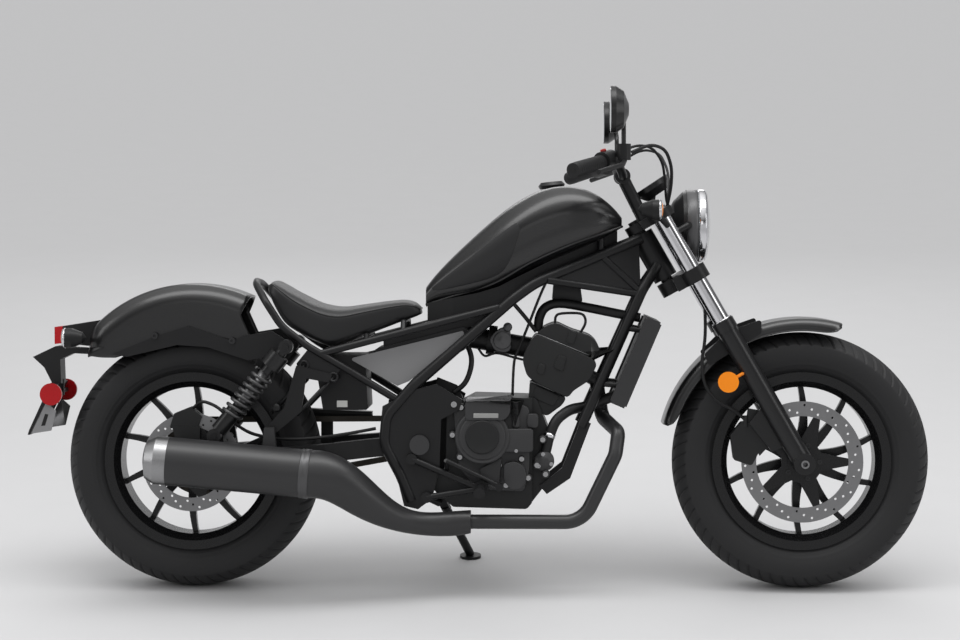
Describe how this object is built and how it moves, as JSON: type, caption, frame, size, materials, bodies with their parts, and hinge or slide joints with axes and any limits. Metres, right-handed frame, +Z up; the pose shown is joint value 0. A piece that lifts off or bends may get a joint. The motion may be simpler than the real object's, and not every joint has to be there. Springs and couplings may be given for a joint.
{
  "type": "cruiser motorcycle",
  "caption": "Low two-wheeled cruiser motorcycle leaning on its side stand, with steering fork, spinning wheels, tank, solo seat and open engine.",
  "frame": {"origin": "centre of the overall length and width, on the ground under the machine as it leans on its side stand", "axes": "+X forward, +Y to the rider's left, +Z up from the ground; the machine leans towards +Y by 8.5 degrees"},
  "size_m": [2.2059, 0.8386, 1.2502],
  "materials": {
    "tyre_rubber": "matte",
    "soft_rubber": "matte",
    "satin_black_metal": "satin",
    "gloss_black_metal": "gloss",
    "satin_black_tank": "satin",
    "dark_engine_metal": "satin",
    "grey_cover": "satin",
    "polished_steel": "polished",
    "brushed_steel": "brushed",
    "exhaust_black": "satin",
    "exhaust_cap": "satin",
    "black_plastic": "matte",
    "seat_cover": "grained",
    "lamp_lens": "clear",
    "red_lens": "gloss",
    "amber_lens": "gloss",
    "chain_steel": "oiled"
  },
  "bodies": {
    "chassis": {"chain": "chain_steel", "front_sprocket": "brushed_steel", "chain_guard": "black_plastic", "main_frame": "satin_black_metal", "subframe": "satin_black_metal", "frame_covers": "black_plastic", "swingarm": "satin_black_metal", "rear_axle": "brushed_steel", "shocks": "satin_black_metal", "shock_springs": "satin_black_metal", "crankcase": "dark_engine_metal", "cylinder": "dark_engine_metal", "engine_covers": "dark_engine_metal", "throttle_body": "black_plastic", "radiator": "satin_black_metal", "header_pipe": "exhaust_black", "silencer": "exhaust_black", "silencer_cap": "exhaust_cap", "fuel_tank": "satin_black_tank", "fuel_cap": "polished_steel", "seat": "seat_cover", "side_covers": "grey_cover", "under_seat_box": "black_plastic", "rear_fender": "satin_black_tank", "fender_struts": "satin_black_metal", "red_lenses": "red_lens", "rear_signals": "black_plastic", "tail_bracket": "black_plastic", "silencer_hanger": "satin_black_metal", "rear_caliper": "dark_engine_metal", "rear_brake_hose": "soft_rubber", "coolant_hose": "soft_rubber", "foot_controls": "satin_black_metal"},
    "steering": {"front_axle": "brushed_steel", "fork_tubes": "polished_steel", "fork_sliders": "satin_black_metal", "triple_clamps": "satin_black_metal", "handlebar": "satin_black_metal", "grips": "soft_rubber", "hand_controls": "black_plastic", "mirrors": "satin_black_metal", "headlamp_shell": "gloss_black_metal", "headlamp_lens": "lamp_lens", "instrument": "black_plastic", "front_signals": "black_plastic", "front_fender": "satin_black_tank", "front_fender_stays": "satin_black_metal", "front_caliper": "dark_engine_metal", "front_reflectors": "amber_lens", "front_brake_hose": "soft_rubber", "control_cables": "soft_rubber"},
    "front_wheel": {"front_tyre": "tyre_rubber", "front_rim": "gloss_black_metal", "front_disc": "brushed_steel"},
    "rear_wheel": {"rear_tyre": "tyre_rubber", "rear_rim": "gloss_black_metal", "rear_disc": "brushed_steel", "rear_sprocket": "brushed_steel"},
    "side_stand": {"side_stand": "satin_black_metal"}
  },
  "joints": [
    {"name": "steering_pivot", "type": "hinge", "parent": "chassis", "child": "steering", "pos_m": [0.42531, -0.02836, 0.81207], "axis": [-0.5, 0.128, 0.8565], "range_deg": [-38, 38]},
    {"name": "front_wheel_spin", "type": "hinge", "parent": "steering", "child": "front_wheel", "pos_m": [0.789, -0.10314, 0.31169], "axis": [0, 0.989, -0.1478], "continuous": true},
    {"name": "rear_wheel_spin", "type": "hinge", "parent": "chassis", "child": "rear_wheel", "pos_m": [-0.701, -0.10344, 0.30971], "axis": [0, 0.989, -0.1478], "continuous": true},
    {"name": "side_stand_fold", "type": "hinge", "parent": "chassis", "child": "side_stand", "pos_m": [-0.101, 0.03034, 0.17648], "axis": [0.1137, 0.8915, 0.4386], "range_deg": [0, 105]}
  ]
}
